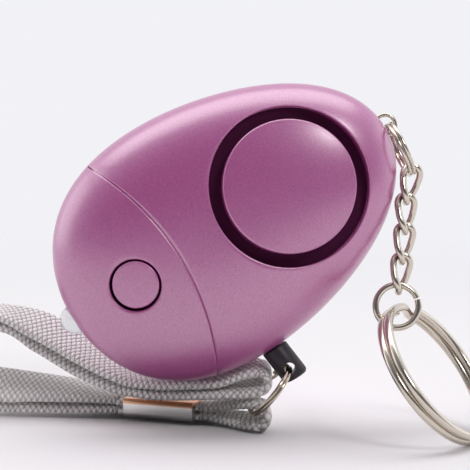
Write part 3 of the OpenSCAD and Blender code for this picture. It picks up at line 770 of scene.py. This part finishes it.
# %% Jump ring and tip eye
JUMP_R, JUMP_WIRE, JUMP_ANGLE, JUMP_CUT = 3.6, 1.1, -5.5, (28.0, 384.0)
EYE_S, EYE_R, EYE_WIRE, SHANK_S = 19.2, 1.75, 0.7, (14.9, 16.0, 17.3)


def arc_path(radius, start, end, points):
    a = np.radians(np.linspace(start, end, points))
    return np.stack([radius * np.cos(a), 0 * a, radius * np.sin(a)], -1)


jump_at = drop + (JUMP_R - (LINK_WIRE + JUMP_WIRE) / 2 - PLAY) * hang(JUMP_ANGLE)
jump = in_chain(arc_path(JUMP_R, *JUMP_CUT, 110), jump_at, JUMP_ANGLE)
dressed(wire("jump_wire", jump, JUMP_WIRE, sides=6), "jump_ring", "jump_ring")
eye = np.array([EYE_S, 0.0, 0.0]) + arc_path(EYE_R, 180.0, 540.0, 80)
loop = wire("tip_loop", in_case(eye[:-1]), EYE_WIRE, closed=True)
shank = wire("tip_shank", in_case(np.array([[s, 0, 0] for s in SHANK_S])), EYE_WIRE)
dressed(join("tip_loop", loop, shank), "case", "tip_eye")

# %% [markdown]
# ## The strap's route
# The wrist strap is a flat braid that lies folded double: from the clip out to the left, back under the
# case, round in a tight fold by the pin, and out and back again. A small eye of the same braid goes from
# the clip through the pin's ring. A cloth simulation could drop it there, but not in the folds of the
# picture. So the route is a list of given places, which follows the solid model's within about a
# millimetre. Each place has x, y and z and the bank of the band in degrees.

# %% Strap route
STRAP_ROUTE = np.array([
    [-20.7, 14, 3.25, 0], [-24.4, 15.5, 3.25, 0], [-26.9, 16.5, 3.25, 0], [-34, 17, 4.3, 14],
    [-42.5, 17.3, 5, 26], [-48, 17.4, 5.4, 34], [-61, 17.6, 7.4, 30], [-64.5, 17.8, 10.6, 28],
    [-62.5, 18, 14, 24], [-58, 18.1, 15.9, 18], [-47.8, 18.3, 16.4, 8], [-40.9, 17.9, 13.9, 32],
    [-34.1, 15.9, 10.2, 30], [-27.2, 12.7, 7.2, 20], [-23.8, 11.3, 6.3, 12], [-18.7, 9.1, 5.85, 5],
    [-8.9, 5.9, 6.6, 4], [-4.5, 5, 7.1, 8], [-1.6, 4.6, 7.8, 8], [-0.8, 4.6, 9.1, 8],
    [-1.7, 4.8, 10.5, 8], [-4.5, 5, 10.6, 8], [-8.9, 5.9, 8.7, 4], [-13.8, 7.2, 8.05, 3],
    [-18.7, 8.9, 7.7, 5], [-23.8, 10.9, 8.1, 12], [-27.2, 12.1, 9.25, 18], [-34.1, 15.1, 12.5, 25],
    [-40.9, 17, 16.05, 28], [-47.8, 18, 18.3, 8], [-55, 18.2, 18.8, 6], [-62.5, 18.3, 18, 6],
    [-68.5, 18.3, 15, 10], [-70.5, 18.2, 10.5, 20], [-68, 18.2, 6.4, 28], [-62, 18.3, 4.2, 32],
    [-48, 18.4, 3.3, 34], [-42.5, 18, 2.75, 24], [-34, 17.2, 2.1, 12], [-26.9, 16.5, 1.55, 0],
    [-24.4, 15.5, 1.55, 0]], float)
EYE_ROUTE = np.array([
    [-12.1, 10.6, 3.25, 0], [-10.35, 9.9, 3.25, 0], [-7.8, 8, 3.8, 0], [-5.2, 5.6, 4.5, 0],
    [-3, 3.7, 4.8, 0], [-1.5, 2.6, 4.5, 0], [-0.8, 2.1, 3.05, 0], [-1.5, 2.6, 1.6, 8],
    [-3, 3.7, 1.45, 16], [-5.2, 5.6, 1.5, 16], [-7.8, 8, 1.5, 8], [-10.35, 9.9, 1.55, 0],
    [-12.1, 10.6, 1.55, 0]], float)
SPACING = 0.2


def smooth_route(route):
    """Evenly spaced points on the smooth curve through the route, and its length."""
    p = np.vstack([route[0], route, route[-1]])
    t = np.linspace(0, 1, 40, endpoint=False)[:, None]
    fine = np.vstack([b + t / 2 * (c - a + t * (2 * a - 5 * b + 4 * c - d + t * (3 * b - a - 3 * c + d)))
                      for a, b, c, d in zip(p[:-3], p[1:-2], p[2:-1], p[3:])] + [route[-1:]])
    run = np.r_[0, np.cumsum(np.linalg.norm(np.diff(fine[:, :3], axis=0), axis=1))]
    at = np.linspace(0, run[-1], int(run[-1] / SPACING) + 1)
    return np.stack([np.interp(at, run, fine[:, k]) for k in range(4)], -1), run[-1]


def unit(v):
    return v / np.linalg.norm(v, axis=1)[:, None]


def band_frame(line, route):
    """The band's middle line with its sideways and upward directions."""
    q = line[:, :3]
    tan = np.gradient(q, axis=0)
    tan[0], tan[-1] = route[1, :3] - route[0, :3], route[-1, :3] - route[-2, :3]
    tan = unit(tan)
    bank = np.radians(line[:, 3])
    side = np.stack([0 * bank, np.cos(bank), np.sin(bank)], -1)
    side = unit(side - (side * tan).sum(1)[:, None] * tan)
    return q, side, np.cross(tan, side)


print(len(STRAP_ROUTE), "places on the strap's route")

# %% [markdown]
# ## The braid
# Two families of strands cross at a slant, each over one and under one. A drawn weave would look flat along
# the edges. So the band is a fine grid swept along the route, and the crowns of the strands are raised on
# it. The UV map counts strands and pitches.

# %% Strands and section
PITCH, STRAND, RELIEF = 1.05, 1.6, 0.11
EDGE_POW, FLAT_POW, LOW_SHARE = 0.32, 0.75, 0.45


def braid_height(v, u):
    """Height of crossing strands at v pitches along and u strands across, 0 in the gaps to 1 on a crown."""
    a, b = v + u, v - u
    crown_a, crown_b = (2 * np.sqrt(np.clip((t - np.floor(t)) * (1 - t + np.floor(t)), 0, 1)) for t in (a, b))
    over = np.mod(np.floor(a) - np.floor(b), 2) < 0.5
    on_a = crown_a * (LOW_SHARE + (1 - LOW_SHARE) * crown_b)
    on_b = crown_b * (LOW_SHARE + (1 - LOW_SHARE) * crown_a)
    return np.where(over, on_a, on_b)


def band_section(width, thick, points):
    """Rounded band section: points, outward normals and the distance round it."""
    a = np.linspace(0, 2 * math.pi, 720, endpoint=False)
    w = width / 2 * np.sign(np.cos(a)) * np.abs(np.cos(a)) ** EDGE_POW
    t = thick / 2 * np.sign(np.sin(a)) * np.abs(np.sin(a)) ** FLAT_POW
    p = np.c_[w, t]
    run = np.r_[0, np.cumsum(np.linalg.norm(np.diff(np.vstack([p, p[:1]]), axis=0), axis=1))]
    at = np.linspace(0, run[-1], points + 1)
    ring = np.stack([np.interp(at, run, np.r_[p[:, k], p[0, k]]) for k in (0, 1)], -1)
    tan = np.roll(ring[:-1], -1, 0) - np.roll(ring[:-1], 1, 0)
    nor = unit(np.c_[tan[:, 1], -tan[:, 0]])
    return ring, np.vstack([nor, nor[:1]]), at


print("strands", STRAND, "mm wide")

# %% Sweep the band
SINK, END_FADE, FLARE_FROM, FLARE_SPAN = 0.4, 0.4, 0.6, 6.0


def close_ends():
    bpy.ops.mesh.select_all(action="DESELECT")
    bpy.ops.mesh.select_non_manifold()
    bpy.ops.mesh.edge_face_add()


def face_out_tube(obj, middle):
    """Turn a tube's faces away from its middle line."""
    f = obj.data.polygons[len(obj.data.polygons) // 2]
    c = np.array(f.center) / MM
    near = middle[np.argmin(np.linalg.norm(middle - c, axis=1))]
    if Vector(c - near).dot(f.normal) < 0:
        edit(obj, bpy.ops.mesh.flip_normals)


def count_strands(obj, strands, pitches):
    """Scale the grid's own UV map to strands across and pitches along."""
    uv = obj.data.uv_layers[0].data
    flat = np.empty(len(uv) * 2)
    uv.foreach_get("uv", flat)
    uv.foreach_set("uv", (flat.reshape(-1, 2) * [strands, pitches]).ravel())


def braided_band(name, route, width, thick, points, flare=0.0):
    """A braided band along a route; flare is the share by which its ends widen into the clip."""
    line, length = smooth_route(route)
    q, side, up = band_frame(line, route)
    ring, nor, at = band_section(width - 2 * RELIEF, thick - 2 * RELIEF, points)
    strands, pitches = 2 * round(at[-1] / (2 * STRAND)), length / PITCH
    last = len(q) - 1
    from_end = length / last * np.minimum(np.arange(len(q)), np.arange(len(q))[::-1])
    grow = 1 + flare * np.clip(1 - (from_end - FLARE_FROM) / FLARE_SPAN, 0, 1) ** 2

    def place(around, row):
        k = np.rint(around * points).astype(int)
        h = braid_height(pitches * row / last, strands * around) * np.clip(from_end[row] / END_FADE, 0, 1)
        e = ring[k] + nor[k] * (2 * RELIEF * h[:, None] - RELIEF * SINK)
        return q[row] + e[:, :1] * grow[row, None] * side[row] + e[:, 1:] * up[row]

    band = laid_grid(name, points, last, place, wraps=False)
    count_strands(band, strands, pitches)
    edit(band, merge_seam)
    edit(band, close_ends)
    face_out_tube(band, q)
    return smooth(band, 80), q, length


strap, strap_line, strap_len = braided_band("wrist_braid", STRAP_ROUTE, 8.0, 1.6, 64)
dressed(strap, "strap", "wrist_strap")
eye_band = braided_band("eye_braid", EYE_ROUTE, 4.6, 1.5, 48, 0.74)[0]
dressed(eye_band, "strap", "strap_eye")

# %% [markdown]
# ## The strap clip
# A strip of metal is folded round the strap's runs and pressed together, which leaves a flat tube with
# rounded edges. A bevelled cube would be much the same, but its corners could pinch. So a rounded rectangle
# is laid on a grid from end to end: the first rows close the end, and the next ones round its edge.

# %% Strap clip
CLIP_AT, CLIP_YAW = np.array([-18.25, 13.04, 2.4]), math.radians(-21.8)
CLIP_L, CLIP_W, CLIP_T, CLIP_ROUND = 13.2, 8.8, 3.4, 0.9
PER_CORNER, POLE = 11, 9.0
clip_end = [(0.0, POLE), (0.0, 0.5), (0.0, 0.12), (0.035, 0.035), (0.12, 0.0)]
CLIP_ROWS = np.array(clip_end + [(CLIP_L - along, inset) for along, inset in clip_end[::-1]])


def clip_part(around, row):
    k = np.rint(around * 4 * PER_CORNER).astype(int) % (4 * PER_CORNER)
    corner = k // PER_CORNER
    turn = np.radians(90 * corner + 90 / (PER_CORNER - 1) * (k % PER_CORNER))
    along, inset = CLIP_ROWS[row].T
    r = np.maximum(CLIP_ROUND - inset, 0.1)
    side = np.where((corner == 0) | (corner == 3), 1, -1) * (CLIP_W / 2 - inset - r) + r * np.cos(turn)
    up = np.where(corner < 2, 1, -1) * (CLIP_T / 2 - inset - r) + r * np.sin(turn)
    side, up = (np.where(inset == POLE, 0, value) for value in (side, up))
    along = along - CLIP_L / 2
    c, s = math.cos(CLIP_YAW), math.sin(CLIP_YAW)
    return CLIP_AT + np.stack([along * c - side * s, along * s + side * c, up], -1)


clip = face_out(laid_grid("strap_clip", 4 * PER_CORNER, len(CLIP_ROWS) - 1, clip_part), CLIP_AT)
dressed(smooth(clip, 40), "strap", "strap_crimp")

# %% [markdown]
# ## The cord's length
# The wrist loop is a limp cord of known length that starts at the clip and comes back to it. Its length and
# the points of its middle line are reckoned here but put to no use, so it stays a solid and counts as stiff.
# The clip and the small eye behind it go with the loop.

# %% Cord
strap_len * MM
[tuple(p) for p in strap_line * MM]
print("cord of", round(strap_len, 1), "mm declared")

# %% [markdown]
# ## Writing finishes as sums
# A finish is a net of nodes. It could be clicked together in the shader editor, or written out link by
# link, which is long. A small wrapper round a node's output lets it be written as sums instead, where every
# sign adds its Math node. All that varies reads the piece's own coordinates or its UV map, so the finish
# stays on the piece when it moves.

# %% Node values
class Value:
    """A node output that can be reckoned with; make() adds a node and gives its output."""

    def __init__(self, tree, socket=None):
        self.tree, self.socket = tree, socket

    def make(self, kind, inputs, out=0, **settings):
        node = self.tree.nodes.new("ShaderNode" + kind)
        for key, value in settings.items():
            setattr(node, key, value)
        for key, value in inputs.items():
            if isinstance(value, Value):
                self.tree.links.new(value.socket, node.inputs[key])
            else:
                node.inputs[key].default_value = value
        return Value(self.tree, node.outputs[out])

    def math(self, operation, *terms):
        return self.make("Math", dict(enumerate(terms)), operation=operation)

    def __add__(self, other):
        return self.math("ADD", self, other)

    def __sub__(self, other):
        return self.math("SUBTRACT", self, other)

    def __rsub__(self, other):
        return self.math("SUBTRACT", other, self)

    def __mul__(self, other):
        return self.math("MULTIPLY", self, other)

    __radd__, __rmul__ = __add__, __mul__


def finish_of(name, look):
    mat = bpy.data.materials.new(name)
    mat.use_nodes = True
    mat.node_tree.nodes.clear()
    out = mat.node_tree.nodes.new("ShaderNodeOutputMaterial")
    mat.node_tree.links.new(look(Value(mat.node_tree)).socket, out.inputs["Surface"])
    return mat


print("made node values")

# %% Parts of a finish
def linear(c):
    return c / 12.92 if c <= 0.04045 else ((c + 0.055) / 1.055) ** 2.4


def rgb(r, g, b):
    """A colour as seen on a screen, 0 to 255, in the linear numbers a shader takes."""
    return (linear(r / 255), linear(g / 255), linear(b / 255), 1.0)


def blend(net, share, low, high):
    return net.make("MixRGB", {"Fac": share, "Color1": low, "Color2": high}, out="Color")


def mixed(net, share, first, second):
    return net.make("MixShader", {0: share, 1: first, 2: second}, out="Shader")


def shader(net, **sockets):
    return net.make("BsdfPrincipled", {k.replace("_", " "): v for k, v in sockets.items()}, out="BSDF")


def coordinate(net, kind, axis):
    return net.make("SeparateXYZ", {"Vector": net.make("TexCoord", {}, out=kind)}, out=axis)


def eased(net, value, low, high):
    """0 below low, 1 above high and a soft rise between them."""
    span = {"Value": value, "From Min": low, "From Max": high}
    return net.make("MapRange", span, interpolation_type="SMOOTHSTEP")


def noise(net, scale):
    at = net.make("TexCoord", {}, out="Object")
    return net.make("TexNoise", {"Vector": at, "Scale": scale, "Detail": 2.0})


def bump(net, height, distance, strength=1.0):
    return net.make("Bump", {"Height": height, "Distance": distance, "Strength": strength}, out="Normal")


print("mid grey on a screen is", round(linear(128 / 255), 3), "in a shader")

# %% [markdown]
# ## Pearl plastic and plain finishes
# The case is purple plastic under a pearly lacquer: deep mauve where it faces the viewer and nearly white
# where it mirrors the room. A tinted metal would turn those reflections purple too. A diffuse mauve under a
# strong clear coat keeps them white, and a fine noise gives the flakes. The others are one slightly uneven
# colour.

# %% Pearl, plain and clear
FLAKE, CLOUD, GRAIN = 4500.0, 2500.0, 700.0


def pearl(net):
    flake = noise(net, FLAKE)
    tone = blend(net, flake * 2.0 - 0.5, rgb(156, 42, 118), rgb(200, 92, 168))
    uneven = noise(net, CLOUD) * 0.1 + 0.4
    return shader(net, Base_Color=tone, Metallic=0.1, Roughness=uneven, Coat_Weight=1.0, Coat_IOR=2.5,
                  Coat_Roughness=0.3, Normal=bump(net, flake, 0.00002, 0.3))


def plain(colour, roughness, metallic=0.0, **more):
    def look(net):
        uneven = noise(net, GRAIN) * 0.08 + (roughness - 0.04)
        return shader(net, Base_Color=colour, Roughness=uneven, Metallic=metallic, **more)
    return look


def lens_clear(net):
    return shader(net, Base_Color=rgb(253, 253, 254), Roughness=0.1, IOR=1.3, Transmission_Weight=0.8)


print("flakes about", round(1 / FLAKE / MM, 2), "mm across")

# %% [markdown]
# ## Braid and clip
# The strap's strands are pale grey; their tone, darker in the gaps and palest on the raised crowns, is
# painted shade and painted light.
# The finish repeats the braid's own formula on the UV map, so that its tones sit on the raised crowns, and
# adds fine fibres.
# The clip is bright plate with a painted reflection along its top, a warm coppery band, which a soft step in
# height gives.

# %% Braid and clip plate
FIBRE, REFLECT_FROM, REFLECT_TO = 6000.0, 0.0031, 0.0033


def braid(net):
    u, v = (coordinate(net, "UV", axis) for axis in "XY")
    a, b = v + u, v - u
    share_a, share_b = (net.math("FRACT", t) for t in (a, b))
    crown_a, crown_b = (net.math("SQRT", t * (1.0 - t)) * 2.0 for t in (share_a, share_b))
    under = net.math("FLOORED_MODULO", net.math("FLOOR", a) - net.math("FLOOR", b), 2.0)
    on_a = crown_a * (crown_b * (1 - LOW_SHARE) + LOW_SHARE)
    on_b = crown_b * (crown_a * (1 - LOW_SHARE) + LOW_SHARE)
    height = on_a * (1.0 - under) + on_b * under
    fibre = noise(net, FIBRE)
    # Painted shade and light: the strands are darker in the gaps and palest on the raised crowns.
    tone = blend(net, height * 1.2 + fibre * 0.4 - 0.25, rgb(174, 166, 165), rgb(255, 251, 249))
    return shader(net, Base_Color=tone, Roughness=0.75, Sheen_Weight=0.2, Sheen_Roughness=0.5,
                  Normal=bump(net, height + fibre * 0.12, 0.0003))


def clip_plate(net):
    # Painted reflection: the clip's top turns warm and coppery above a set height.
    painted_reflection = eased(net, coordinate(net, "Object", "Z"), REFLECT_FROM, REFLECT_TO)
    tone = blend(net, painted_reflection, rgb(253, 250, 248), rgb(246, 190, 156))
    return shader(net, Base_Color=tone, Roughness=noise(net, GRAIN) * 0.06 + 0.3, Metallic=0.9)


print("the clip's warm edge is", round(CLIP_AT[2] + CLIP_T / 2 - REFLECT_TO / MM, 1), "mm high")

# %% [markdown]
# ## Putting the finishes on
# Every piece names the slot of its finish. Materials could be given piece by piece, but one table by slot
# gives pieces of the same stuff the same look, the unseen ones inside too.

# %% Put the finishes on
LOOKS = {
    "pearl_purple": pearl,
    # Painted shade: the dark colour of the slot's floor and the button's well.
    "dark_recess": plain(rgb(70, 16, 54), 0.55, Specular_IOR_Level=0.1),
    "brass": plain(rgb(214, 178, 96), 0.3, 1.0),
    "ivory_ceramic": plain(rgb(232, 226, 210), 0.45),
    "black_plastic": plain(rgb(30, 30, 32), 0.5),
    "board_green": plain(rgb(34, 96, 58), 0.45),
    "clear_lens": lens_clear,
    "nickel": plain(rgb(214, 205, 192), 0.2, 1.0),
    "copper_wire": plain(rgb(190, 116, 72), 0.35, 1.0),
    "red_wire": plain(rgb(170, 30, 30), 0.5),
    "black_wire": plain(rgb(26, 26, 28), 0.5),
    "screw_steel": plain(rgb(170, 170, 172), 0.3, 1.0),
    "charcoal": plain(rgb(40, 32, 41), 0.45),
    "ring_steel": plain(rgb(214, 204, 186), 0.16, 1.0),
    "grey_braid": braid,
    "clip_metal": clip_plate,
}
materials = {slot: finish_of(slot, look) for slot, look in LOOKS.items()}
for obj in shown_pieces():
    name = obj.get("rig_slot") or slot_of[obj["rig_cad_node"]]
    obj.data.materials.clear()
    obj.data.materials.append(materials[name])

# %% [markdown]
# ## The floor
# A pale paper sweep runs from the floor up behind the part, so that no horizon shows. Far from the part it
# glows softly where it is seen, and near the part it keeps the shadow. Close under the case it is dark for
# bounced light only, a painted shade for the shade of the case and the strap: the case then mirrors a darker
# floor, which a plain pale one would wash out.

# %% Floor
SWEEP_WIDE, SWEEP_LONG, SWEEP_FRONT, BEND_AT, BEND_R = 4.0, 2.2, 0.9, 0.35, 0.35
GLOW_FROM, GLOW_TO = 0.06, 0.34
DARK_AT, DARK_FROM, DARK_TO, DARK_GLOSS = (-0.012, 0.003, 0.0), 0.008, 0.03, 0.2


def ray_is(net, kind):
    return net.make("LightPath", {}, out="Is %s Ray" % kind)


def sweep_look(net):
    camera_ray, glossy, through = (ray_is(net, kind) for kind in ("Camera", "Glossy", "Transmission"))
    seen = net.math("MAXIMUM", camera_ray, net.math("MAXIMUM", glossy, through))
    at = net.make("TexCoord", {}, out="Object")
    under = net.make("VectorMath", {0: at, 1: DARK_AT}, out="Value", operation="DISTANCE")
    # Painted shade: close under the case the floor is dark to bounced light, for the shade of the case and
    # the strap.
    clear = net.math("MAXIMUM", eased(net, under, DARK_FROM, DARK_TO), camera_ray + glossy * DARK_GLOSS)
    dim = net.make("BsdfDiffuse", {"Color": rgb(30, 28, 30)}, out="BSDF")
    pale = net.make("BsdfDiffuse", {"Color": rgb(236, 234, 235)}, out="BSDF")
    glow = net.make("Emission", {"Color": rgb(242, 242, 246), "Strength": 1.0}, out="Emission")
    far = eased(net, coordinate(net, "Object", "Y"), GLOW_FROM, GLOW_TO)
    return mixed(net, far * seen, mixed(net, clear, dim, pale), glow)


start_clean()
bpy.ops.mesh.primitive_grid_add(x_subdivisions=4, y_subdivisions=80, size=1.0)
floor = bpy.context.object
floor.name = floor.data.name = "sweep"
co = points_of(floor)
run = (co[:, 1] + 0.5) * SWEEP_LONG - SWEEP_FRONT
turn = np.clip((run - BEND_AT) / BEND_R, 0, math.pi / 2)
rise = BEND_R * (1 - np.cos(turn)) + np.maximum(run - BEND_AT - BEND_R * math.pi / 2, 0)
back = np.minimum(run, BEND_AT) + BEND_R * np.sin(turn)
set_points(floor, np.stack([co[:, 0] * SWEEP_WIDE, back, rise], -1))
smooth(floor, 60)
floor.data.materials.append(finish_of("sweep_paper", sweep_look))
print("sweep rises", round(float(rise.max()), 2), "m")

# %% [markdown]
# ## Lamps and room
# A broad softbox hangs overhead and draws the long soft light along the top of the case. Weaker ones fill
# from the left and the right, and a small one in front puts the soft spot on the speaker's cover. The room
# is bright behind and dim in front, so that the face of the case mirrors something dark and shows its own
# colour. To the camera, and through the lens, the room is simply white.

# %% Softboxes
def softbox(name, at, aim, size, power):
    start_clean()
    bpy.ops.object.light_add(type="AREA", location=at)
    lamp = bpy.context.object
    lamp.name = name
    lamp.data.shape, lamp.data.energy = "RECTANGLE", power
    lamp.data.size, lamp.data.size_y = size
    lamp.rotation_euler = (Vector(aim) - Vector(at)).to_track_quat("-Z", "Y").to_euler()


softbox("overhead", (-0.1, 0.08, 0.6), (-0.1, 0.06, 0.03), (1.0, 0.42), 2.3)
softbox("left", (-0.6, 0.1, 0.22), (0.0, 0.0, 0.04), (0.5, 0.4), 0.6)
softbox("right", (0.6, 0.2, 0.22), (0.0, 0.0, 0.04), (0.5, 0.4), 0.28)
softbox("front", (0.3, -0.42, 0.44), (0.0, 0.0, 0.03), (0.16, 0.16), 0.95)

# %% Room
DIM_LEVEL, BRIGHT_LEVEL, DIM_TO, BRIGHT_FROM = 0.12, 0.9, -0.9, 0.25
world = bpy.data.worlds.new("room")
bpy.context.scene.world = world
world.use_nodes = True
air = Value(world.node_tree)
dusk, day, white = (air.make("Background", {"Color": rgb(240, 240, 245), "Strength": level}, out="Background")
                    for level in (DIM_LEVEL, BRIGHT_LEVEL, 1.0))
room = mixed(air, eased(air, coordinate(air, "Generated", "Y"), DIM_TO, BRIGHT_FROM), dusk, day)
seen = air.math("MAXIMUM", ray_is(air, "Camera"), ray_is(air, "Transmission"))
surface = world.node_tree.nodes["World Output"].inputs["Surface"]
world.node_tree.links.new(mixed(air, seen, room, white).socket, surface)
print("room from", DIM_LEVEL, "in front to", BRIGHT_LEVEL, "behind")
